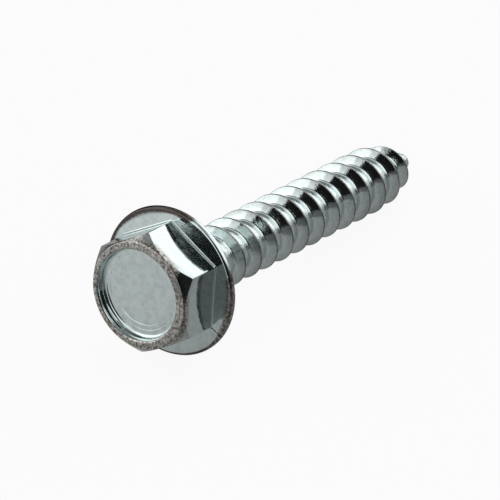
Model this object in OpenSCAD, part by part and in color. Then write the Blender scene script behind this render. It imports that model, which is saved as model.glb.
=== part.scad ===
/* [Shank] */
// Length from the bearing face under the washer to the end of the point
shank_len = 38.1; // [25:0.1:60]
// Diameter over the thread crests
major_d = 6.35; // [5.8:0.05:7]
// Diameter of the core at the thread roots
minor_d = 4.8; // [4.2:0.05:5.2]
// Advance of the thread in one turn
pitch = 2.54; // [2.2:0.02:3.2]
// Width of the flat on a thread crest
crest_w = 0.16; // [0.08:0.01:0.3]
// Angle between the two flanks of the thread
thread_angle = 60; // [45:1:66]

/* [Point] */
// Length of the cone that the core runs down to the point
point_len = 5.1; // [3:0.1:8]
// Radius of the blunt end of the point
point_r = 0.65; // [0.25:0.05:0.9]
// Length of the domed end of the point
dome_len = 0.3; // [0.1:0.05:0.5]
// Length over which the thread fades out before the domed end
fade_len = 2; // [1:0.1:3]

/* [Hexagon] */
// Width of the hexagon across its flats
hex_af = 10.65; // [9.6:0.05:11.6]
// Height of the hexagon above the washer
hex_h = 4.5; // [3:0.1:6]
// Height of the chamfer, measured at the corners of the hexagon
chamfer_h = 1.1; // [0.5:0.05:1.6]
// Distance of the chamfer's upper edge inside the flats
chamfer_in = 0.08; // [0.02:0.01:0.2]
// Height of the sloped foot where the hexagon meets the washer
foot_h = 0.28; // [0.1:0.02:0.5]

/* [Indent] */
// Thickness of the rim that the indent leaves inside the hexagon's flats
rim_w = 0.8; // [0.55:0.05:2]
// Depth of the indent below the top of the head
indent_depth = 1.1; // [0.4:0.05:1.6]
// Radius of the rounded lip of the indent
lip_r = 0.3; // [0.1:0.01:0.4]
// Radius of the fillet between the indent's wall and its floor
floor_r = 0.3; // [0.1:0.05:0.35]

/* [Washer] */
// Diameter of the washer that is part of the head
washer_d = 14.7; // [14.2:0.1:18]
// Thickness of the washer where the hexagon stands on it
washer_t = 0.8; // [0.7:0.05:1.6]
// Fall of the washer's upper face from the hexagon's corners to its edge
washer_fall = 0.16; // [0:0.01:0.2]
// Radius of the rounded corners of the washer's edge
edge_r = 0.24; // [0.1:0.01:0.24]

/* [Lie] */
// Turn of the hexagon about the screw's axis, as the screw lies
hex_turn = -2; // [-30:1:30]
// Turn of the thread about the screw's axis, as the screw lies
thread_turn = 50; // [0:1:359]

/* [Hidden] */

major_r = major_d / 2;
minor_r = minor_d / 2;
washer_r = washer_d / 2;
indent_r = hex_af / 2 - rim_w;
hex_corner_r = hex_af / sqrt(3);
chamfer_r = hex_af / 2 - chamfer_in;
chamfer_slope = (hex_corner_r - chamfer_r) / chamfer_h;

// Stations along the screw's axis, from the bearing face, towards the point
head_top_z = -(washer_t + hex_h);
point_z = shank_len - point_len;
dome_z = shank_len - dome_len;
fade_z = dome_z - fade_len;

// Number of straight steps in a quarter of a rounded edge, in a turn of the thread and around the head
ARC_STEPS = 4;
TURN_STEPS = 36;
ROUND_STEPS = 128;

// The thread starts half way into the solid part of the head, and its last turns close the point
start_z = -(washer_t + hex_h - indent_depth) / 2;
END_TURNS = 1.5;
// Angle that the dome at the end of the point curves through before it closes flat
DOME_ARC = 70;
flank_w = (major_r - minor_r) * tan(thread_angle / 2);
rail_out = crest_w / 2 + flank_w;
thread_steps = ceil(((dome_z - start_z) / pitch + 1 + END_TURNS) * TURN_STEPS);

// The screw lies on the washer's edge and on the first crest that touches as it leans over
down_turns = floor(shank_len / pitch - thread_turn / 360);
lean = min([
    for (turn = [0 : down_turns], side = [-1, 1])
        touch_lean(pitch * (turn + thread_turn / 360) + side * crest_w / 2)
]);

// Ends and lowest place of the lying screw, measured from the middle of the bearing face
low_x = head_top_z * cos(lean) - chamfer_r * sin(lean);
high_x = shank_len * cos(lean);
low_z = -((washer_r - edge_r) * cos(lean) - edge_r * sin(lean) + edge_r);

// Points of an arc about a centre, from one angle to another
function arc(centre, r, from, to) = [
    for (i = [0 : ARC_STEPS])
        let (a = from + (to - from) * i / ARC_STEPS)
        centre + r * [cos(a), sin(a)]
];

// Place along the axis of a thread point that a plain helix puts at z: the last turns gather in the dome
function gather(z) =
    z <= dome_z ? z : dome_z + dome_len * min(1, (z - dome_z) / (pitch * (1 + END_TURNS)));

// Radius of the core: a cylinder, then a cone, then a dome at the end of the point
function core_at(z) =
    z <= point_z ? minor_r :
    z <= dome_z ? point_r + (minor_r - point_r) * (dome_z - z) / (dome_z - point_z) :
    point_r * cos(DOME_ARC * (z - dome_z) / dome_len);

// Share of its full height that the thread still has
function thread_share(z) = max(0, min(1, (dome_z - z) / (dome_z - fade_z)));

function crest_at(z) = core_at(z) + (major_r - minor_r) * thread_share(z);

// Lean at which a crest point at z, on the side that faces down, meets the ground under the washer's edge
function touch_lean(z) =
    let (
        drop = washer_r - edge_r - crest_at(z),
        run = z + edge_r
    )
    atan2(drop, run) + asin(edge_r / norm([drop, run]));

// A point of the thread at one step along the helix: rails 0 and 3 are its roots, rails 1 and 2 its crest
function thread_point(step, rail) =
    let (
        angle = 360 * step / TURN_STEPS + 360 * start_z / pitch - thread_turn,
        across = [-rail_out, -crest_w / 2, crest_w / 2, rail_out][rail],
        z = gather(start_z + pitch * step / TURN_STEPS + across),
        r = (rail == 0 || rail == 3) ? core_at(z) : crest_at(z)
    )
    [r * cos(angle), r * sin(angle), z];

module threaded_shank() {
    rails = 4;
    last = thread_steps;
    start_hub = (last + 1) * rails;
    end_hub = start_hub + 1;
    points = concat(
        [for (s = [0 : last], rail = [0 : rails - 1]) thread_point(s, rail)],
        [[0, 0, start_z + pitch / 2], [0, 0, shank_len]]
    );
    flanks = [
        for (s = [0 : last - 1], rail = [0 : rails - 2])
            let (i = s * rails + rail)
            each [[i, i + 1, i + rails + 1], [i, i + rails + 1, i + rails]]
    ];
    roots = [
        for (s = [0 : last - TURN_STEPS - 1])
            let (i = s * rails + rails - 1, j = (s + TURN_STEPS) * rails)
            each [[i, j, j + rails], [i, j + rails, i + rails]]
    ];
    start_rim = concat(
        [for (s = [0 : TURN_STEPS]) s * rails],
        [for (rail = [rails - 1 : -1 : 1]) rail]
    );
    end_rim = concat(
        [for (s = [last - TURN_STEPS : last]) s * rails + rails - 1],
        [for (rail = [rails - 2 : -1 : 0]) last * rails + rail]
    );
    start_cap = [
        for (i = [0 : len(start_rim) - 1])
            [start_hub, start_rim[i], start_rim[(i + 1) % len(start_rim)]]
    ];
    end_cap = [
        for (i = [0 : len(end_rim) - 1])
            [end_hub, end_rim[(i + 1) % len(end_rim)], end_rim[i]]
    ];
    polyhedron(points, concat(flanks, roots, start_cap, end_cap), convexity = 20);
}

module hexagon() {
    intersection() {
        rotate(hex_turn)
            translate([0, 0, head_top_z])
                cylinder(r = hex_corner_r, h = hex_h + washer_t / 2, $fn = 6);
        translate([0, 0, head_top_z])
            cylinder(
                r1 = chamfer_r,
                r2 = chamfer_r - head_top_z * chamfer_slope,
                h = -head_top_z,
                $fn = ROUND_STEPS
            );
    }
}

module foot() {
    sunk = washer_fall + washer_t / 8;
    foot_len = foot_h + sunk;
    rotate(hex_turn)
        translate([0, 0, -washer_t - foot_h])
            cylinder(r1 = hex_corner_r, r2 = hex_corner_r + foot_len, h = foot_len, $fn = 6);
}

module washer() {
    edge = washer_r - edge_r;
    rotate_extrude($fn = ROUND_STEPS)
        polygon(concat(
            [[0, 0], [0, -washer_t], [hex_corner_r, -washer_t]],
            arc([edge, washer_fall + edge_r - washer_t], edge_r, -90, 0),
            arc([edge, -edge_r], edge_r, 0, 90)
        ));
}

module indent() {
    floor_z = head_top_z + indent_depth;
    lip_z = head_top_z + lip_r;
    rotate_extrude($fn = ROUND_STEPS)
        polygon(concat(
            [[0, floor_z]],
            [[0, head_top_z - lip_r], [indent_r + lip_r, head_top_z - lip_r]],
            arc([indent_r + lip_r, lip_z], lip_r, -90, -180),
            arc([indent_r - floor_r, floor_z - floor_r], floor_r, 0, 90)
        ));
}

module screw() {
    color("silver")
        translate([-(low_x + high_x) / 2, 0, -low_z])
            rotate([0, 90 + lean, 0])
                union() {
                    difference() {
                        union() {
                            hexagon();
                            foot();
                            washer();
                        }
                        indent();
                    }
                    threaded_shank();
                }
}

screw();
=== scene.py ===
"""Looks of a zinc plated hex washer head sheet metal screw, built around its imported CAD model."""

import math

import bpy
import numpy as np
from bpy.props import FloatProperty, FloatVectorProperty, PointerProperty
from mathutils import Matrix, Vector, noise


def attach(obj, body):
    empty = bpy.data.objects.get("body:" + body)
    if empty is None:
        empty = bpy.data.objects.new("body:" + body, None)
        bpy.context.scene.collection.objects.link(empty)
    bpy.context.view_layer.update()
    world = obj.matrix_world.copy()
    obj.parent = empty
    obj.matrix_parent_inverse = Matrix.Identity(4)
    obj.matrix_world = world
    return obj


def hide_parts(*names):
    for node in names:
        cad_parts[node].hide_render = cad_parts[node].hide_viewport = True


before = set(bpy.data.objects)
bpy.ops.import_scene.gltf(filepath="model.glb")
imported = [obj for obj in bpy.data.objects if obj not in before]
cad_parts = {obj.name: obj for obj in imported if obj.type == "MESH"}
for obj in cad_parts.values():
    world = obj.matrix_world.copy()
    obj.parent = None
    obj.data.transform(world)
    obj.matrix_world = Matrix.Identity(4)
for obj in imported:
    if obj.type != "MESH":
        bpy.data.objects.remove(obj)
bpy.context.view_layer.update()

bl_info = {
    "name": "Hex washer head screw",
    "version": (1, 0, 0),
    "blender": (4, 5, 0),
    "location": "View3D > Sidebar > Screw",
    "description": "Builds a zinc plated sheet metal screw, and the stage that shows it",
    "category": "Object",
}

MM = 0.001
PHOTO_SIDE = 500
SENSOR = 36.0

# Straight steps in a rounded corner, along a hexagon's side and along one turn of the thread
ROUND_STEPS = 6
FLAT_STEPS = 38
TURN_STEPS = 96
# Steps along the straight pieces of the head's outline: the floor's middle, one ring, and the rest
FLOOR_SPANS = [8]
RING_SPANS = [1, 1, 3]
HEAD_SPANS = [3, 3, 5, 6, 5, 3, 4]
# Steps along the straight pieces across one pitch of the thread
THREAD_SPANS = [2, 3, 1, 3, 2]
# Most of its share of a straight piece that a rounded corner takes up
ROUND_ROOM = 0.94
# Narrow strip at both ends of a straight piece, its largest share of it, and the least length of a piece
HEM = 0.03 * MM
HEM_SHARE = 0.2
LEAST_LENGTH = 1e-9
# Gap between a hexagon's rounded corner and the first column of a flat, as a share of the corner
CORNER_HEM = 0.125
# Angle from which an edge is shown sharp
SHARP_ANGLE = math.radians(38)
# Radii of the faint rings on the indent's floor, as shares of its radius, and their places in the noise
FLOOR_RINGS = (0.72, 0.83)
RING_SEEDS = (1.7, 6.1)
# Mean and least share of their depth that the uneven rings have
RING_MEAN = 0.5
RING_LEAST = 0.1
# Depth below the top that moves with the indent, in depths of the indent
INDENT_ZONE = 1.5
# Corner of the hexagon at which the washer has a crease, and half of the turn that the crease covers
CREASE_CORNER = 5
CREASE_REACH = math.radians(0.5)
# Turn at which the uneven washer is thickest, and the turn on both sides over which that fades
RISE_TURN = math.radians(288)
RISE_REACH = math.radians(50)
# Turn at which the washer's upper corner is roundest, and half of the turn over which that fades
SLOPE_TURN = math.radians(226)
SLOPE_REACH = math.radians(24)
# Turns that close the point, and the share of its rounded end before it closes flat
END_TURNS = 1.5
DOME_SHARE = 0.95
# Size of the blend between the core's cylinder and its cone
CONE_BLEND = 0.2 * MM
# Depth at which the shank starts inside the head, beyond half a pitch
START_DEPTH = 0.3 * MM
# Unevenness of the thread's height, its changes in a turn, and its place in the noise
SWELL = 0.02
SWELL_RATE = 5
SWELL_SEED = (0.3, 0.7)
# Depths below the chamfer, and widths across the lip and the chamfer, over which the rim's grain fades,
# and the share that it loses across the chamfer
RIM_FADE = (0.04 * MM, 0.2 * MM)
LIP_FADE = 0.12 * MM
CHAMFER_FADE = (0.05 * MM, 0.5 * MM)
CHAMFER_CLEAN = 0.6
# Turn and reach in degrees of the rim's corner that gets painted shade, and the distance from the indent over
# which it sets in
CORNER_TURN = (238, 15)
CORNER_FADE = (0.15 * MM, 0.5 * MM)
# Turns in degrees between which a mark on the washer's edge comes in, and between which it goes
BESIDE_TURNS = (242, 256, 290, 325)
ABOVE_TURNS = (70, 100, 188, 204)
BARE_TURNS = (190, 206, 240, 250)
BELOW_FROM = (300, 330)
BELOW_TO = (20, 50)
# Width in millimetres of the band of wear and painted shade along the washer's edge, and what it has more
# beside, above and below
EDGE_WIDTH = 0.05
EDGE_WIDER = np.array((0.53, 0.42, 0.28))
# Width in millimetres over which that band sets in, and what it has more beside
EDGE_SOFT = 0.06
BESIDE_SOFT = 0.1
# Distance from the bearing face at which the band ends
BEARING_GAP = 0.01 * MM
# Depths below a crest between which its wear and painted shade set in, and height above the roots of the
# thread's low part
CREST_FADE = (0.08 * MM, 0.02 * MM)
ROOT_FADE = 0.3 * MM
# Wear that the rim's corner with painted shade loses, and wear of the washer's edge and of the crests
CORNER_WEAR = 0.6
EDGE_WEAR = 0.9
CREST_WEAR = 0.5
# Painted shade on the washer's edge, what it has more beside, above and below, and painted shade on the
# crests and the corner
EDGE_SHADE = 0.95
EDGE_SHADE_SIDES = np.array((-0.65, 0.7, 0.4))
CREST_SHADE = 0.9
CORNER_SHADE = 0.9
# Share of the indent's depth over which its satin floor sets in
FLOOR_FADE = (0.8, 0.95)
# Radius of the ring of specks as a share of the indent's, its half width, and its turn and reach in degrees
SPECK_RING = 0.86
SPECK_WIDTH = 0.3 * MM
SPECK_TURN = (70, 45)
# Place along the axis and its reach, turn and its reach in degrees, and share of the pits on the low thread
PIT_PLACE = (7 * MM, 4 * MM)
PIT_TURN = (235, 30)
PIT_SHARE = 0.8
# Roughness of the rolled low thread, what it has more at the head, and the length over which that fades
ROLLED = 0.5
ROLLED_MORE = 0.7
ROLLED_REACH = 9 * MM
# Sizes of the noises in the plating, in millimetres, and the scale of the streaks along each axis
COARSE_GRAIN = 0.26
FINE_GRAIN = 0.1
CLOUD = 0.9
DOT = 0.22
STREAK = 0.2
STREAK_SCALE = (1, 0.3, 0.3)
# Levels of a noise between which a mark starts and is full
PIT_CLOUDS = (0.48, 0.6)
PIT_DOTS = (0.68, 0.74)
WORN_SPAN = (0.6, 0.95)
MOTTLE_SPAN = (0.36, 0.64)
STREAK_SPAN = (0.35, 0.6)
SHADE_SPAN = (0.3, 0.6)
GLOSS_SPAN = (0.3, 0.7)
# How much the specks add to the dots and the coarse grain adds to the wear, and how far the pits cover
SPECK_DOTS = 0.14
WORN_GRAIN = 0.6
PIT_COVER = 0.7
# Cover of the painted shade and factor on the roughness, at both ends of a noise
SHADE_COVER = (1, 0.6)
GLOSS_RANGE = (0.8, 1.4)
# Full height of the bumps, and the shares that the noises have of it
BUMP_DEPTH = 0.06 * MM
WORN_HEIGHT = 0.4
ROLLED_HEIGHT = 0.45
FINE_HEIGHT = 0.006
CLOUD_HEIGHT = 0.1
WHITE = (1, 1, 1, 1)
# Side of the floor, and the share of it that glows white to the camera and in reflections
FLOOR_SIDE = 0.8
FLOOR_GLOW = 0.92
# Brightness of the world as light, and as it is seen
WORLD_LEVELS = (0.55, 1.0)
# Azimuth, elevation, width, height and brightness of the soft lights, and their distance
SOFTBOXES = {
    "left_softbox": (127, 28, 0.55, 0.42, 0.6),
    "back_softbox": (-25, 42, 0.95, 0.5, 0.45),
}
LAMP_DISTANCE = 0.6
# Nearest and farthest distance that the camera sees
CAMERA_CLIP = (10 * MM, 10.0)
# Radius of the cloths round the screw, and their steps
DOME_RADIUS = 0.75
CLOTH_STEPS = 60
# Azimuth, lowest and highest elevation, brightness and soft edge along the cloths round the screw
DARK_CLOTH = (
    (-187, 43, 62, 0.012, 4),
    (-181, 41, 62, 0.012, 4),
    (-178, -20, 62, 0.012, 4),
    (-165, -20, 62, 0.012, 4),
    (-130, -20, 50, 0.012, 5),
    (-112, -20, 40, 0.03, 8),
    (-95, -20, 35, 0.1, 12),
    (-75, -20, 30, 0.15, 16),
    (-30, -20, 16, 0.2, 16),
)
CEILING_CLOTH = (
    (-182, 60, 100, 0.33, 5),
    (-130, 62, 100, 0.33, 5),
    (-75, 66, 100, 0.33, 6),
    (20, 66, 100, 0.33, 6),
    (60, 60, 100, 0.33, 6),
    (90, 48, 100, 0.32, 5),
    (150, 46, 100, 0.29, 5),
    (178, 44, 100, 0.26, 5),
)
GAP_CLOTH = (
    (22, -20, 34, 0.03, 6),
    (96, -20, 34, 0.03, 6),
)
# The reflected table is dark in front of the head and gets lighter behind it, between two places along Y
TABLE_FRONT = -0.014
TABLE_BACK = 0.04
TABLE_LEVELS = (0.14, 0.68)
# Beside the shank it has one level, which starts between two places along X
TABLE_HEAD = -0.019
TABLE_SHANK = -0.012
SHANK_LEVEL = 0.31
# Height of the reflected table above the floor
TABLE_LIFT = 0.02 * MM


def length(name, mm, words):
    return FloatProperty(name=name, description=words, default=mm * MM, unit="LENGTH", precision=5)


def angle(name, degrees, words):
    return FloatProperty(name=name, description=words, default=math.radians(degrees), unit="ROTATION")


def colour(name, value, words):
    return FloatVectorProperty(
        name=name, description=words, default=value, size=3, min=0, max=1, subtype="COLOR"
    )


def share(name, value, words):
    return FloatProperty(name=name, description=words, default=value, min=0, max=1, subtype="FACTOR")


class ScrewHeadSizes(bpy.types.PropertyGroup):
    """Sizes of the indented hexagon and of the washer below it"""

    flats: length("Across flats", 10.65, "Width of the hexagon across its flats")
    height: length("Hexagon height", 4.5, "Height of the hexagon above the washer")
    corner_round: length("Corner round", 0.22, "Radius of the hexagon's six upright edges")
    chamfer_height: length("Chamfer height", 1.1, "Height of the chamfer at the hexagon's corners")
    chamfer_inset: length("Chamfer inset", 0.08, "Distance of the chamfer's upper edge inside the flats")
    rim_round: length("Rim round", 0.2, "Radius of the edge between the rim and the chamfer")
    chamfer_round: length("Chamfer round", 0.1, "Radius of the edge between the chamfer and a flat")
    foot_round: length("Foot round", 0.2, "Radius of the fillet where a flat meets the washer")
    rim_width: length("Rim width", 0.87, "Thickness of the rim between the indent and the flats")
    indent_depth: length("Indent depth", 1.1, "Depth of the indent below the top of the head")
    lip_round: length("Lip round", 0.3, "Radius of the indent's upper edge")
    floor_round: length("Floor round", 0.5, "Radius of the fillet between the indent's wall and floor")
    floor_dish: length("Floor dish", 0.18, "Rise of the indent's floor from its middle to its edge")
    ring_depth: length("Ring depth", 0.02, "Depth of the faint rings on the indent's floor")
    ring_width: length("Ring width", 0.14, "Width of the faint rings on the indent's floor")
    washer: length("Washer diameter", 14.7, "Diameter of the washer that is part of the head")
    washer_thick: length("Washer thickness", 0.8, "Thickness of the washer at the hexagon")
    washer_fall: length("Washer fall", 0.16, "Fall of the washer's upper face from the flats to its edge")
    edge_round: length("Washer edge round", 0.24, "Radius of the lower corner of the washer's edge")
    shoulder_round: length("Washer shoulder round", 0.35, "Radius of the upper corner of the washer's edge")
    shoulder_slope: length("Shoulder slope", 0.5, "Extra radius of the washer's upper corner on one side")
    washer_rise: length("Washer rise", 0.1, "Extra thickness of the uneven washer on one side")
    crease_depth: length("Crease depth", 0.08, "Depth of the crease in the washer at a corner of the hexagon")
    hex_up: length("Hexagon up", 0.09, "Distance of the hexagon above the axis, as the screw lies")
    hex_aside: length("Hexagon aside", 0.08, "Distance of the hexagon beside the axis, as the screw lies")
    indent_up: length("Indent up", 0.05, "Distance of the indent above the axis, as the screw lies")
    indent_aside: length("Indent aside", 0.32, "Distance of the indent beside the axis, as the screw lies")


class ScrewShankSizes(bpy.types.PropertyGroup):
    """Sizes of the thread and of the point"""

    reach: length("Length", 38.1, "Length from the bearing face to the end of a sharp point")
    blunt: length("Blunting", 0.3, "Length that the blunt point falls short of a sharp one")
    crest: length("Crest diameter", 6.35, "Diameter over the thread crests")
    root: length("Root diameter", 4.7, "Diameter of the core at the thread roots")
    pitch: length("Pitch", 2.54, "Advance of the thread in one turn")
    crest_width: length("Crest width", 0.16, "Width of the flat on a thread crest")
    crest_round: length("Crest round", 0.05, "Radius of the two edges of a thread crest")
    root_round: length("Root round", 0.2, "Radius of the fillet between a flank and the core")
    flank_angle: angle("Thread angle", 60, "Angle between the two flanks of the thread")
    neck_round: length("Neck round", 0.35, "Radius of the fillet between the shank and the washer")
    point: length("Point length", 5.3, "Length of the cone that the core runs down to the point")
    point_radius: length("Point radius", 0.7, "Radius of the blunt end of the point")
    dome: length("Dome length", 0.35, "Length of the rounded end of the point")
    fade: length("Thread fade", 1.6, "Length over which the thread fades out at the point")
    fade_gap: length("Thread end gap", 0.2, "Distance from the end of the thread to the dome")
    skew: angle("Skew", 0.69, "Angle by which the shank leans aside from the head's axis")
    skew_at: length("Skew place", 7.3, "Place along the axis where the leaning shank crosses the head's axis")
    bend: length("Point bend", 0.12, "Distance of the point's end above the axis")


class ScrewLie(bpy.types.PropertyGroup):
    """How the screw lies on its washer and its thread"""

    lean: angle("Lean", 7.2799, "Angle by which the screw's axis falls towards the point")
    hex_turn: angle("Hexagon turn", -1, "Turn of the hexagon about the screw's axis")
    thread_turn: angle("Thread turn", 58, "Turn of the thread about the screw's axis")


class ZincFinish(bpy.types.PropertyGroup):
    """Colours and gloss of the bright zinc plating"""

    plating: colour("Plating", (0.70, 0.785, 0.78), "Colour of the clean zinc")
    streak: colour("Streaks", (0.6, 0.68, 0.675), "Colour of the fine streaks in the zinc")
    worn_light: colour("Light grain", (0.64, 0.63, 0.60), "Light colour of the grainy rim, edges and crests")
    worn_dark: colour("Dark grain", (0.13, 0.112, 0.095), "Dark colour of the grainy rim, edges and crests")
    # Painted shade: near-black colour painted on the washer's edge, one corner of the rim and the crests
    painted_shade: colour("Painted shade", (0.075, 0.066, 0.06), "Colour of the dark washer edge and crests")
    speck: colour("Specks", (0.16, 0.17, 0.17), "Colour of the small pits in the plating")
    gloss: share("Plating roughness", 0.07, "Roughness of the clean zinc")
    satin_gloss: share("Satin roughness", 0.21, "Roughness of the indent's floor")
    worn_gloss: share("Worn roughness", 0.22, "Roughness of the grainy rim, edges and crests")


class ScrewStage(bpy.types.PropertyGroup):
    """Camera, floor and light"""

    azimuth: angle("Camera azimuth", -54.088, "Camera's turn about the upright axis")
    elevation: angle("Camera elevation", 30.975, "Camera's height above the horizon")
    distance: length("Camera distance", 630, "Distance from the camera to the middle of the screw")
    scale: FloatProperty(
        name="Scale", description="Pixels of the picture for a millimetre at the screw", default=10.438
    )
    shift_right: FloatProperty(
        name="Shift right", description="Pixels by which the screw stands right of the middle", default=21.856
    )
    shift_down: FloatProperty(
        name="Shift down", description="Pixels by which the screw stands below the middle", default=24.437
    )
    floor: colour("Floor", (0.86, 0.86, 0.86), "Colour of the pale floor")


def rounded_path(corners, rounds, spans):
    """Points along straight pieces with rounded corners. Equal spans give equal counts of points."""
    corners = [np.array(c, float) for c in corners]
    starts, ends, arcs = [corners[0]], [], []
    for at, radius in enumerate(rounds, 1):
        before, after = corners[at - 1] - corners[at], corners[at + 1] - corners[at]
        room = [np.linalg.norm(before), np.linalg.norm(after)]
        before, after = before / room[0], after / room[1]
        half = math.acos(max(-1.0, min(1.0, float(before @ after)))) / 2
        first = 1.0 if at == 1 else 0.5
        last = 1.0 if at == len(rounds) else 0.5
        cut = min(radius / math.tan(half), ROUND_ROOM * first * room[0], ROUND_ROOM * last * room[1])
        across = before + after
        across /= np.linalg.norm(across)
        middle = corners[at] + across * cut / math.cos(half)
        reach = cut * math.tan(half)
        side = (after - before) / np.linalg.norm(after - before)
        sweep = math.pi / 2 - half
        turns = [sweep * (2 * i / ROUND_STEPS - 1) for i in range(ROUND_STEPS + 1)]
        arcs.append([middle + reach * (side * math.sin(a) - across * math.cos(a)) for a in turns])
        ends.append(arcs[-1][0])
        starts.append(arcs[-1][-1])
    ends.append(corners[-1])
    points = []
    for at, (start, end) in enumerate(zip(starts, ends)):
        steps = np.linspace(0, 1, spans[at] + 1)
        if spans[at] > 2:
            hem = min(HEM_SHARE, HEM / max(np.linalg.norm(end - start), LEAST_LENGTH))
            steps = np.concatenate([[0], np.linspace(hem, 1 - hem, spans[at] - 1), [1]])
        run = [start + (end - start) * s for s in steps]
        points += run[(1 if at else 0):]
        if at < len(arcs):
            points += arcs[at][1:]
    return points


def hexagon_radius(turn, sizes):
    """Distance from the axis to the hexagon's side, at a turn from one of its corners."""
    apothem = sizes.flats / 2
    middle = (apothem - sizes.corner_round) / math.cos(math.pi / 6)
    off = abs((turn + math.pi / 6) % (math.pi / 3) - math.pi / 6)
    if off < corner_reach(sizes):
        return middle * math.cos(off) + math.sqrt(sizes.corner_round**2 - (middle * math.sin(off)) ** 2)
    return apothem / math.cos(math.pi / 6 - off)


def corner_reach(sizes):
    """Turn from a corner of the hexagon to the end of its rounding."""
    flat = 1 - 2 * sizes.corner_round / sizes.flats
    return math.pi / 6 - math.atan(flat * math.tan(math.pi / 6))


def head_turns(sizes):
    """Turns of the head's columns, which are closest at the hexagon's corners."""
    reach = corner_reach(sizes)
    hem = reach * CORNER_HEM
    corner = np.linspace(-reach, reach, 2 * ROUND_STEPS + 1)
    flat = np.linspace(reach + hem, math.pi / 3 - reach - hem, FLAT_STEPS)
    sextant = np.concatenate([corner, flat])
    return np.concatenate([sextant + k * math.pi / 3 for k in range(6)])


def head_path(turn, sizes, lie):
    """Radius and height of the head's points at one turn, from the indent's middle to the bearing face."""
    top = sizes.washer_thick + sizes.height
    side = hexagon_radius(turn, sizes)
    indent = sizes.flats / 2 - sizes.rim_width
    rim = sizes.flats / 2 - sizes.chamfer_inset
    corner = sizes.flats / math.sqrt(3)
    slope = sizes.chamfer_height / (corner - rim)
    floor = top - sizes.indent_depth
    outer = sizes.washer / 2
    fall = sizes.washer_fall / (outer - sizes.edge_round - sizes.flats / 2)
    away = abs((turn + lie.hex_turn - RISE_TURN + math.pi) % (2 * math.pi) - math.pi)
    rise = sizes.washer_rise / outer * float(1 - ramp(away, 0, RISE_REACH))

    near = (turn - CREASE_CORNER * math.pi / 3) / CREASE_REACH
    crease = sizes.crease_depth * math.exp(-near * near)
    near = (turn + lie.hex_turn - SLOPE_TURN) / SLOPE_REACH
    shoulder = sizes.shoulder_round + sizes.shoulder_slope * math.exp(-near * near)

    def washer_top(r):
        return sizes.washer_thick - fall * (r - sizes.flats / 2) + rise * r - crease

    corners, rounds = [(0, floor)], []
    for ring, seed in zip(FLOOR_RINGS, RING_SEEDS):
        r = ring * indent
        strength = RING_MEAN + noise.noise(Vector((math.cos(turn), math.sin(turn), seed)))
        groove = sizes.ring_depth * max(RING_LEAST, strength)
        corners += [(r - sizes.ring_width / 2, floor), (r, floor - groove), (r + sizes.ring_width / 2, floor)]
        rounds += [sizes.ring_width / 2] * 3
    corners += [
        (indent, floor),
        (indent, top),
        (rim, top),
        (side, top - slope * (side - rim)),
        (side, washer_top(side)),
        (outer, washer_top(outer)),
        (outer, 0),
        (0, 0),
    ]
    rounds += [
        sizes.floor_round,
        sizes.lip_round,
        sizes.rim_round,
        sizes.chamfer_round,
        sizes.foot_round,
        shoulder,
        sizes.edge_round,
    ]
    spans = FLOOR_SPANS + RING_SPANS * len(FLOOR_RINGS) + HEAD_SPANS
    path = rounded_path(corners, rounds, spans)
    for point in path:
        if point[0] < indent and point[1] > top / 2:
            deep = max(0, min(1, (top - point[1]) / sizes.indent_depth))
            point[1] += sizes.floor_dish * deep * (point[0] / indent) ** 2
    return path


def head_shift(r, h, side, sizes):
    """Offset of the hexagon and the indent from the axis, which fades out across the washer."""
    top = sizes.washer_thick + sizes.height
    indent = sizes.flats / 2 - sizes.rim_width
    rim = sizes.flats / 2 - sizes.chamfer_inset
    outer = sizes.washer / 2
    hexagon = Vector((-sizes.hex_up, sizes.hex_aside))
    if r < rim and h > top - INDENT_ZONE * sizes.indent_depth:
        return Vector((-sizes.indent_up, sizes.indent_aside)).lerp(hexagon, float(ramp(r, indent, rim)))
    if h < sizes.edge_round:
        return Vector((0, 0))
    return hexagon * max(0, min(1, (outer - r) / (outer - side)))


def head_mesh(sizes, lie):
    """Points and faces of the closed head, in the screw's own frame."""
    turns = head_turns(sizes)
    paths = [head_path(t, sizes, lie) for t in turns]
    rings = len(paths[0]) - 2
    count = len(turns)
    points = []
    for ring in range(1, rings + 1):
        for turn, path in zip(turns, paths):
            r, h = path[ring]
            x, y = head_shift(r, h, hexagon_radius(turn, sizes), sizes)
            a = turn + lie.hex_turn
            points.append((r * math.cos(a) + x, r * math.sin(a) + y, -h))
    first, last = len(points), len(points) + 1
    points += [(-sizes.indent_up, sizes.indent_aside, -paths[0][0][1]), (0, 0, -paths[0][-1][1])]
    faces = []
    for i in range(count):
        j = (i + 1) % count
        faces.append((first, j, i))
        for ring in range(rings - 1):
            a, b = ring * count, (ring + 1) * count
            faces.append((a + i, a + j, b + j, b + i))
        faces.append((last, (rings - 1) * count + i, (rings - 1) * count + j))
    return points, faces


def tip_at(sizes):
    """Place along the axis of the point's end."""
    return sizes.reach - sizes.blunt


def core_radius(z, sizes):
    """Radius of the core: a cylinder, then a cone whose end is rounded."""
    tip = tip_at(sizes)
    full = sizes.root / 2
    cone = sizes.point_radius + (full - sizes.point_radius) * (tip - z) / sizes.point
    radius = (full + cone - math.hypot(full - cone, CONE_BLEND)) / 2
    into = max(0, min(1, 1 - (tip - z) / sizes.dome))
    return radius * math.sqrt(1 - (DOME_SHARE * into) ** 2)


def thread_share(z, sizes):
    """Share of its height that the thread has along the axis, which fades out at the point."""
    end = tip_at(sizes) - sizes.dome - sizes.fade_gap
    return max(0, min(1, (end - z) / sizes.fade))


def axis_shift(z, sizes):
    """Offset down and aside of the shank's middle, which leans aside and bends up at the point."""
    up = sizes.bend * max(0, (z - tip_at(sizes) + sizes.point) / sizes.point) ** 2
    return -up, (sizes.skew_at - z) * math.tan(sizes.skew)


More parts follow.
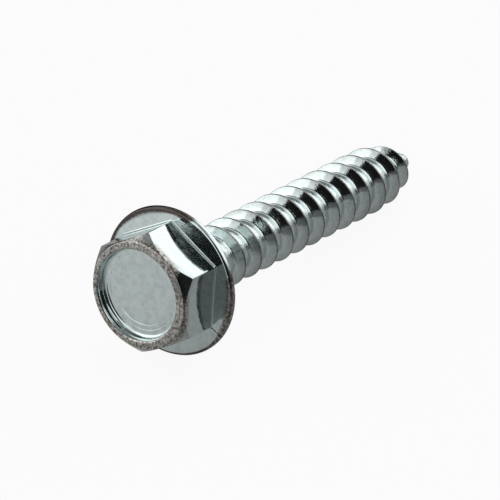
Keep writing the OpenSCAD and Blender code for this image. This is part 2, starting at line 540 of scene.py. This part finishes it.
def thread_points(sizes):
    """Offsets along the axis and heights above the core, across one pitch of the thread."""
    tall = (sizes.crest - sizes.root) / 2
    crest = sizes.crest_width / 2
    foot = crest + tall * math.tan(sizes.flank_angle / 2)
    half = sizes.pitch / 2
    corners = [(-half, 0), (-foot, 0), (-crest, tall), (crest, tall), (foot, 0), (half, 0)]
    rounds = [sizes.root_round, sizes.crest_round, sizes.crest_round, sizes.root_round]
    return rounded_path(corners, rounds, THREAD_SPANS)[:-1]


def shank_mesh(sizes, lie):
    """Points and faces of the closed, threaded shank, which starts inside the head."""
    rails = thread_points(sizes)
    count = len(rails)
    start = -sizes.pitch / 2 - START_DEPTH
    dome_at = tip_at(sizes) - sizes.dome
    steps = math.ceil(((dome_at - start) / sizes.pitch + 1 + END_TURNS) * TURN_STEPS)
    points = []
    for step in range(steps + 1):
        crest_z = start + sizes.pitch * step / TURN_STEPS
        turn = 2 * math.pi * crest_z / sizes.pitch - lie.thread_turn
        flow = Vector((step / TURN_STEPS * SWELL_RATE, *SWELL_SEED))
        swell = 1 + SWELL * noise.noise(flow)
        for across, tall in rails:
            z = crest_z + across
            if z > dome_at:
                z = dome_at + sizes.dome * min(1, (z - dome_at) / (sizes.pitch * (1 + END_TURNS)))
            r = core_radius(z, sizes) + tall * swell * thread_share(z, sizes)
            if z < sizes.neck_round:
                drop = sizes.neck_round - max(z, 0)
                neck = sizes.root / 2 + sizes.neck_round - math.sqrt(sizes.neck_round**2 - drop**2)
                r = max(r, neck)
            down, aside = axis_shift(z, sizes)
            points.append((r * math.cos(turn) + down, r * math.sin(turn) + aside, z))
    start_hub, end_hub = len(points), len(points) + 1
    tip = tip_at(sizes)
    points += [(*axis_shift(start, sizes), start), (*axis_shift(tip, sizes), tip)]
    faces = []
    for step in range(steps):
        here, ahead = step * count, (step + 1) * count
        for rail in range(count - 1):
            faces.append((here + rail, ahead + rail, ahead + rail + 1, here + rail + 1))
        if step < steps - TURN_STEPS:
            low, high = here + count - 1, (step + TURN_STEPS) * count
            faces.append((low, ahead + count - 1, high + count, high))
    start_rim = [s * count for s in range(TURN_STEPS + 1)] + list(range(count - 1, 0, -1))
    end_rim = [s * count + count - 1 for s in range(steps - TURN_STEPS, steps + 1)]
    end_rim += [steps * count + rail for rail in range(count - 2, -1, -1)]
    faces += [(start_hub, b, a) for a, b in zip(start_rim, start_rim[1:] + start_rim[:1])]
    faces += [(end_hub, a, b) for a, b in zip(end_rim, end_rim[1:] + end_rim[:1])]
    return points, faces


def solid(name, points, faces):
    """New object with a mesh of these points and faces."""
    mesh = bpy.data.meshes.new(name)
    mesh.from_pydata(points, [], faces)
    mesh.validate()
    piece = bpy.data.objects.new(name, mesh)
    bpy.context.scene.collection.objects.link(piece)
    return piece


def join_solids(name, base, added):
    """One closed mesh from two solids that pass through each other."""
    joint = base.modifiers.new("join", "BOOLEAN")
    joint.operation = "UNION"
    joint.solver = "MANIFOLD"
    joint.object = added
    bpy.context.view_layer.update()
    graph = bpy.context.evaluated_depsgraph_get()
    mesh = bpy.data.meshes.new_from_object(base.evaluated_get(graph))
    mesh.name = name
    for old in (base, added):
        data = old.data
        bpy.data.objects.remove(old)
        bpy.data.meshes.remove(data)
    piece = bpy.data.objects.new(name, mesh)
    bpy.context.scene.collection.objects.link(piece)
    return piece


def ramp(value, low, high):
    """Smooth step from 0 at low to 1 at high."""
    t = np.clip((value - low) / (high - low), 0, 1)
    return t * t * (3 - 2 * t)


def bell(value, middle, reach):
    """1 at the middle, fading towards 0 past the reach on both sides."""
    return np.exp(-(((value - middle) / reach) ** 2))


def between(turn, turns):
    """1 between the second and third of four turns, fading to 0 at the first and the last."""
    return ramp(turn, *turns[:2]) * (1 - ramp(turn, *turns[2:]))


def rim_marks(x, y, z, turn, head):
    """Shares of the grainy rim, its corner with painted shade, the satin floor and the floor's specks."""
    in_hexagon = np.hypot(x + head.hex_up, y - head.hex_aside)
    in_indent = np.hypot(x + head.indent_up, y - head.indent_aside)
    top = -(head.washer_thick + head.height)
    indent = head.flats / 2 - head.rim_width
    rim = head.flats / 2 - head.chamfer_inset
    slope = head.chamfer_height / (head.flats / math.sqrt(3) - rim)
    sunk = z - top - slope * np.maximum(in_hexagon - rim, 0)
    across = 1 - CHAMFER_CLEAN * ramp(in_hexagon, rim + CHAMFER_FADE[0], rim + CHAMFER_FADE[1])
    on_rim = (1 - ramp(sunk, *RIM_FADE)) * ramp(in_indent, indent, indent + LIP_FADE) * across
    # Painted shade on one corner of the rim, at a fixed turn as the screw lies
    corner = bell(turn, *CORNER_TURN) * ramp(in_indent, indent + CORNER_FADE[0], indent + CORNER_FADE[1])
    depth = (z - top) / head.indent_depth
    satin = ramp(depth, *FLOOR_FADE) * (in_indent < indent) * (z < top / 2)
    specks = satin * bell(in_indent, SPECK_RING * indent, SPECK_WIDTH) * bell(turn, *SPECK_TURN)
    return on_rim, corner, satin, specks


def edge_marks(x, y, z, turn, head):
    """Share of the worn band along the washer's edge, and its painted shade, which is strongest above and
    below and weakest beside.
    """
    beside = between(turn, BESIDE_TURNS)
    above = between(turn, ABOVE_TURNS)
    below = ramp(turn, *BELOW_FROM) + 1 - ramp(turn, *BELOW_TO)
    sides = np.array([beside, above, below])
    edge = head.washer / 2 - (EDGE_WIDTH + EDGE_WIDER @ sides) * MM
    soft = (EDGE_SOFT + BESIDE_SOFT * beside) * MM
    on_edge = ramp(np.hypot(x, y), edge, edge + soft) * (z < -BEARING_GAP)
    on_edge *= 1 - between(turn, BARE_TURNS)
    # The washer's edge gets painted shade, strongest where it faces up or down as the screw lies and weakest
    # beside
    return on_edge, (EDGE_SHADE + EDGE_SHADE_SIDES @ sides) * on_edge


def thread_marks(x, y, z, shank):
    """Shares of the thread's crests and of its low part."""
    tall = (shank.crest - shank.root) / 2
    crest = np.array([core_radius(at, shank) + tall * thread_share(at, shank) for at in z])
    down, aside = np.array([axis_shift(at, shank) for at in z]).T
    radius = np.hypot(x - down, y - aside)
    # The crests get wear and a near-black painted shade along them
    on_crest = ramp(radius, crest - CREST_FADE[0], crest - CREST_FADE[1]) * (z > shank.neck_round)
    on_crest *= 1 - ramp(z, tip_at(shank) - shank.point / 2, tip_at(shank) - shank.point / 3)
    low = (1 - ramp(radius, shank.root / 2, shank.root / 2 + ROOT_FADE)) * (z > 0)
    return on_crest, low


def mark_finish(mesh, head, shank):
    """Stores where the plating is grainy, where it gets painted shade, and where it is satin, speckled or
    rough from rolling.
    """
    co = np.empty(len(mesh.vertices) * 3, np.float32)
    mesh.vertices.foreach_get("co", co)
    x, y, z = co.reshape(-1, 3).T.astype(float)
    turn = np.degrees(np.arctan2(y, x)) % 360
    on_rim, corner, satin, specks = rim_marks(x, y, z, turn, head)
    on_edge, edge_shade = edge_marks(x, y, z, turn, head)
    on_crest, low = thread_marks(x, y, z, shank)
    # The rim, the washer's edge and the crests get wear; the washer's edge, one corner of the rim and the
    # crests also get painted shade
    wear = np.maximum(on_rim * (1 - CORNER_WEAR * corner), EDGE_WEAR * on_edge)
    painted_shade = np.maximum(edge_shade, CORNER_SHADE * corner * on_rim)
    pits = PIT_SHARE * bell(z, *PIT_PLACE) * bell(turn, *PIT_TURN) * low
    marks = {
        "wear": np.maximum(wear, CREST_WEAR * on_crest),
        "painted_shade": np.maximum(painted_shade, CREST_SHADE * on_crest),
        "satin": satin,
        "specks": np.maximum(specks, pits),
        "rolled": low * (ROLLED + ROLLED_MORE * np.exp(-z / ROLLED_REACH)),
    }
    for key, values in marks.items():
        mesh.attributes.new(key, "FLOAT", "POINT").data.foreach_set("value", values.astype(np.float32))


def lie_matrix(head, shank, lie):
    """Moves the screw's own frame to where it lies, with the box's bottom centre at the origin."""
    edge, rim = head.washer / 2 - head.edge_round, head.flats / 2 - head.chamfer_inset
    low = -(head.washer_thick + head.height) * math.cos(lie.lean) - rim * math.sin(lie.lean)
    high = shank.reach * math.cos(lie.lean)
    rise = edge * math.cos(lie.lean) - head.edge_round * math.sin(lie.lean) + head.edge_round
    place = Matrix.Translation((-(low + high) / 2, 0, rise))
    return place @ Matrix.Rotation(math.pi / 2 + lie.lean, 4, "Y")


class NodeBench:
    """Adds and links the nodes of one material or world."""

    def __init__(self, name, tree=None):
        self.tree = tree
        if tree is None:
            self.material = bpy.data.materials.new(name)
            self.material.use_nodes = True
            self.tree = self.material.node_tree
        self.tree.nodes.clear()

    def add(self, kind, inputs=None, **settings):
        node = self.tree.nodes.new("ShaderNode" + kind)
        for key, value in settings.items():
            setattr(node, key, value)
        for key, value in (inputs or {}).items():
            if isinstance(value, bpy.types.NodeSocket):
                self.tree.links.new(value, node.inputs[key])
            else:
                node.inputs[key].default_value = value
        return node

    def math(self, how, a, b):
        return self.add("Math", {0: a, 1: b}, operation=how).outputs[0]

    def stored(self, key):
        return self.add("Attribute", attribute_name=key).outputs["Fac"]

    def spread(self, value, low, high, to_low=0.0, to_high=1.0, smooth=False):
        inputs = {"Value": value, "From Min": low, "From Max": high, "To Min": to_low, "To Max": to_high}
        how = "SMOOTHSTEP" if smooth else "LINEAR"
        return self.add("MapRange", inputs, clamp=True, interpolation_type=how).outputs["Result"]

    def mix(self, factor, a, b):
        inputs = {"Factor": factor, "A": a, "B": b}
        node = self.add("Mix", data_type="RGBA")
        for key, value in inputs.items():
            socket = next(s for s in node.inputs if s.name == key and s.enabled)
            if isinstance(value, bpy.types.NodeSocket):
                self.tree.links.new(value, socket)
            else:
                socket.default_value = value
        return next(s for s in node.outputs if s.enabled)


def rgba(value):
    return (*value, 1.0)


def zinc_material(finish):
    """Bright zinc plating: grainy on the worn rim and edges, with painted shade on the washer's edge, a
    corner of the rim and the crests, satin in the indent, with small pits.
    """
    bench = NodeBench("bright_zinc")
    place = bench.add("TexCoord").outputs["Object"]

    def grain(size_mm, detail=2.0, rough=0.5):
        inputs = {"Vector": place, "Scale": 1 / (size_mm * MM), "Detail": detail, "Roughness": rough}
        return bench.add("TexNoise", inputs).outputs["Fac"]

    def times(a, b):
        return bench.math("MULTIPLY", a, b)

    wear = bench.stored("wear")
    painted_shade = bench.stored("painted_shade")
    satin = bench.stored("satin")
    rolled = bench.stored("rolled")
    specks = bench.stored("specks")
    coarse = grain(COARSE_GRAIN, 3.0, 0.6)
    fine = grain(FINE_GRAIN)
    clouds = grain(CLOUD, 3.0)
    dots = bench.math("ADD", grain(DOT, 1.0), times(specks, SPECK_DOTS))
    where = bench.math("MAXIMUM", bench.spread(clouds, *PIT_CLOUDS), specks)
    pits = times(bench.spread(dots, *PIT_DOTS), where)
    worn = bench.spread(bench.math("ADD", wear, times(coarse, WORN_GRAIN)), *WORN_SPAN)
    mottle = bench.mix(bench.spread(coarse, *MOTTLE_SPAN), rgba(finish.worn_dark), rgba(finish.worn_light))
    stretch = bench.add("Mapping", {"Vector": place, "Scale": STREAK_SCALE}).outputs["Vector"]
    inputs = {"Vector": stretch, "Scale": 1 / (STREAK * MM), "Detail": 3.0}
    streaks = bench.add("TexNoise", inputs).outputs["Fac"]
    plating = bench.mix(bench.spread(streaks, *STREAK_SPAN), rgba(finish.streak), rgba(finish.plating))
    base = bench.mix(worn, plating, mottle)
    # Painted shade: darkens the washer's edge, a corner of the rim and the crests towards a near-black colour
    shaded = times(painted_shade, bench.spread(coarse, *SHADE_SPAN, *SHADE_COVER))
    base = bench.mix(shaded, base, rgba(finish.painted_shade))
    base = bench.mix(times(pits, PIT_COVER), base, rgba(finish.speck))
    gloss = bench.spread(clouds, *GLOSS_SPAN, *(finish.gloss * factor for factor in GLOSS_RANGE))
    rough = bench.math("MAXIMUM", gloss, times(satin, finish.satin_gloss))
    rough = bench.math("MAXIMUM", rough, times(worn, finish.worn_gloss))
    height = times(coarse, bench.spread(wear, 0, 1, 0.0, WORN_HEIGHT))
    height = bench.math("ADD", height, times(times(coarse, rolled), ROLLED_HEIGHT))
    height = bench.math("ADD", height, times(fine, FINE_HEIGHT))
    height = bench.math("ADD", height, times(clouds, CLOUD_HEIGHT))
    bump = bench.add("Bump", {"Strength": 1.0, "Distance": BUMP_DEPTH, "Height": height}).outputs["Normal"]
    shader = bench.add(
        "BsdfPrincipled", {"Base Color": base, "Metallic": 1.0, "Roughness": rough, "Normal": bump}
    )
    bench.add("OutputMaterial", {"Surface": shader.outputs["BSDF"]})
    return bench.material


def seen_directly(bench):
    """1 for camera, glossy and transmission rays, which show the white surroundings."""
    path = bench.add("LightPath").outputs
    seen = bench.math("MAXIMUM", path["Is Camera Ray"], path["Is Glossy Ray"])
    return bench.math("MAXIMUM", seen, path["Is Transmission Ray"])


def floor_material(stage):
    """Pale floor that looks white and still shows the screw's shadow."""
    bench = NodeBench("pale_floor")
    matt = bench.add("BsdfDiffuse", {"Color": rgba(stage.floor)})
    glow = bench.add("Emission", {"Color": WHITE, "Strength": 1.0})
    seen = bench.math("MULTIPLY", seen_directly(bench), FLOOR_GLOW)
    both = bench.add("MixShader", {0: seen, 1: matt.outputs[0], 2: glow.outputs[0]})
    bench.add("OutputMaterial", {"Surface": both.outputs[0]})
    return bench.material


class SCREW_OT_build(bpy.types.Operator):
    """Build the plated screw in place of its plain solid"""

    bl_idname = "screw.build"
    bl_label = "Build screw"

    def execute(self, context):
        scene = context.scene
        head, shank, lie = scene.screw_head, scene.screw_shank, scene.screw_lie
        body = solid("head", *head_mesh(head, lie))
        thread = solid("thread", *shank_mesh(shank, lie))
        piece = join_solids("plated_screw", body, thread)
        mark_finish(piece.data, head, shank)
        piece.data.transform(lie_matrix(head, shank, lie))
        piece.data.shade_smooth()
        piece.data.set_sharp_from_angle(angle=SHARP_ANGLE)
        piece.data.materials.clear()
        piece.data.materials.append(zinc_material(scene.screw_finish))
        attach(piece, "root")
        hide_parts("screw")
        return {"FINISHED"}


def table_material():
    """Card that is grey beside the shank, and gets lighter from the front to the back beside the head."""
    bench = NodeBench("table_grey")
    place = bench.add("SeparateXYZ", {0: bench.add("TexCoord").outputs["Object"]}).outputs
    left = bench.spread(place["Y"], TABLE_FRONT, TABLE_BACK, 1, 0)
    level = bench.spread(bench.math("MULTIPLY", left, left), 1, 0, *TABLE_LEVELS)
    beside = bench.spread(place["X"], TABLE_HEAD, TABLE_SHANK, smooth=True)
    gap = bench.math("MULTIPLY", bench.math("SUBTRACT", SHANK_LEVEL, level), beside)
    level = bench.math("ADD", level, gap)
    glow = bench.add("Emission", {"Color": WHITE, "Strength": level})
    bench.add("OutputMaterial", {"Surface": glow.outputs[0]})
    return bench.material


def cloth_material(name):
    """Cloth whose brightness and cover are stored in its mesh."""
    bench = NodeBench(name)
    cover = bench.stored("cover")
    level = bench.stored("level")
    glow = bench.add("Emission", {"Color": WHITE, "Strength": level})
    clear = bench.add("BsdfTransparent")
    both = bench.add("MixShader", {0: cover, 1: clear.outputs[0], 2: glow.outputs[0]})
    bench.add("OutputMaterial", {"Surface": both.outputs[0]})
    return bench.material


def dome_cloth(name, rows):
    """Curved cloth round the screw, which thins out at its edges."""
    table = np.array(rows, float)
    azimuths = np.linspace(table[0, 0], table[-1, 0], CLOTH_STEPS)
    points, faces, levels, covers = [], [], [], []
    for i, azimuth in enumerate(azimuths):
        low, high, level, soft = (np.interp(azimuth, table[:, 0], table[:, k]) for k in range(1, 5))
        side = min(azimuth - azimuths[0], azimuths[-1] - azimuth)
        for j, elevation in enumerate(np.linspace(low, high, CLOTH_STEPS)):
            points.append(direction(azimuth, elevation) * DOME_RADIUS)
            levels.append(level)
            covers.append(float(ramp(min(side, elevation - low, high - elevation), 0, soft)))
            if i and j:
                here = i * CLOTH_STEPS + j
                faces.append((here, here - 1, here - CLOTH_STEPS - 1, here - CLOTH_STEPS))
    cloth = solid(name, points, faces)
    for key, values in (("cover", covers), ("level", levels)):
        cloth.data.attributes.new(key, "FLOAT", "POINT").data.foreach_set("value", values)
    cloth.data.shade_smooth()
    cloth.data.materials.append(cloth_material(name))
    reflected_only(cloth)


def direction(azimuth, elevation):
    """Unit vector at degrees of azimuth from the X axis, and of elevation."""
    a, e = math.radians(azimuth), math.radians(elevation)
    return Vector((math.cos(e) * math.cos(a), math.cos(e) * math.sin(a), math.sin(e)))


def flat_sheet(name, side):
    """Square sheet on the ground."""
    half = side / 2
    corners = [(-half, -half, 0), (half, -half, 0), (half, half, 0), (-half, half, 0)]
    return solid(name, corners, [(0, 1, 2, 3)])


def reflected_only(card):
    """Keeps a card out of the picture and out of the light, so that only the metal shows it."""
    card.visible_camera = card.visible_diffuse = card.visible_shadow = False
    card.visible_transmission = card.visible_volume_scatter = False


class SCREW_OT_stage(bpy.types.Operator):
    """Build the floor, the light and the camera"""

    bl_idname = "screw.stage"
    bl_label = "Build stage"

    def execute(self, context):
        stage = context.scene.screw_stage
        floor = flat_sheet("floor", FLOOR_SIDE)
        floor.data.materials.append(floor_material(stage))
        self.light_world(context.scene)
        for name, values in SOFTBOXES.items():
            self.hang_softbox(name, *values)
        self.set_cards()
        self.place_camera(context.scene, stage)
        context.scene.view_settings.view_transform = "Standard"
        return {"FINISHED"}

    def light_world(self, scene):
        """Lights the screw from all round, with a white background."""
        world = bpy.data.worlds.new("studio")
        scene.world = world
        world.use_nodes = True
        bench = NodeBench("studio", world.node_tree)
        level = bench.spread(seen_directly(bench), 0, 1, *WORLD_LEVELS)
        white = bench.add("Background", {"Color": WHITE, "Strength": level})
        bench.add("OutputWorld", {"Surface": white.outputs[0]})

    def hang_softbox(self, name, azimuth, elevation, width, height, level):
        """Hangs a soft light of an even brightness, facing the screw."""
        data = bpy.data.lights.new(name, "AREA")
        data.shape = "RECTANGLE"
        data.size, data.size_y = width, height
        data.energy = level * math.pi * width * height
        lamp = bpy.data.objects.new(name, data)
        toward = direction(azimuth, elevation)
        lamp.location = toward * LAMP_DISTANCE
        lamp.rotation_mode = "QUATERNION"
        lamp.rotation_quaternion = (-toward).to_track_quat("-Z", "Y")
        bpy.context.scene.collection.objects.link(lamp)

    def set_cards(self):
        """Sets the table card and the cloths round the screw, which only the metal shows."""
        table = flat_sheet("table_card", FLOOR_SIDE)
        table.location = (0, 0, TABLE_LIFT)
        table.data.materials.append(table_material())
        reflected_only(table)
        dome_cloth("dark_cloth", DARK_CLOTH)
        dome_cloth("ceiling_cloth", CEILING_CLOTH)
        dome_cloth("gap_cloth", GAP_CLOTH)

    def place_camera(self, scene, stage):
        """Places the camera at the angle of the picture."""
        sin_a, cos_a = math.sin(stage.azimuth), math.cos(stage.azimuth)
        sin_e, cos_e = math.sin(stage.elevation), math.cos(stage.elevation)
        ahead = Vector((-sin_a * cos_e, cos_a * cos_e, -sin_e))
        right = Vector((cos_a, sin_a, 0))
        down = ahead.cross(right)
        data = bpy.data.cameras.new("camera")
        data.sensor_width = SENSOR
        data.lens = stage.scale * stage.distance / MM * SENSOR / PHOTO_SIDE
        camera = bpy.data.objects.new("camera", data)
        shift = right * stage.shift_right + down * stage.shift_down
        camera.location = -ahead * stage.distance - shift / stage.scale * MM
        camera.rotation_mode = "QUATERNION"
        camera.rotation_quaternion = ahead.to_track_quat("-Z", "Y")
        data.clip_start, data.clip_end = CAMERA_CLIP
        scene.collection.objects.link(camera)
        scene.camera = camera


class SCREW_PT_panel(bpy.types.Panel):
    """Buttons and sizes of the screw"""

    bl_idname = "SCREW_PT_panel"
    bl_label = "Screw"
    bl_space_type = "VIEW_3D"
    bl_region_type = "UI"
    bl_category = "Screw"

    def draw(self, context):
        for name in GROUPS:
            box = self.layout.box()
            group = getattr(context.scene, name)
            for key in group.bl_rna.properties.keys():
                if key not in ("rna_type", "name"):
                    box.prop(group, key)
        self.layout.operator(SCREW_OT_build.bl_idname)
        self.layout.operator(SCREW_OT_stage.bl_idname)


GROUPS = {
    "screw_head": ScrewHeadSizes,
    "screw_shank": ScrewShankSizes,
    "screw_lie": ScrewLie,
    "screw_finish": ZincFinish,
    "screw_stage": ScrewStage,
}
CLASSES = (*GROUPS.values(), SCREW_OT_build, SCREW_OT_stage, SCREW_PT_panel)


def register():
    for cls in CLASSES:
        bpy.utils.register_class(cls)
    for name, group in GROUPS.items():
        setattr(bpy.types.Scene, name, PointerProperty(type=group))


def unregister():
    for name in GROUPS:
        delattr(bpy.types.Scene, name)
    for cls in reversed(CLASSES):
        bpy.utils.unregister_class(cls)


def main():
    register()
    bpy.ops.screw.build()
    bpy.ops.screw.stage()


if __name__ == "__main__":
    main()
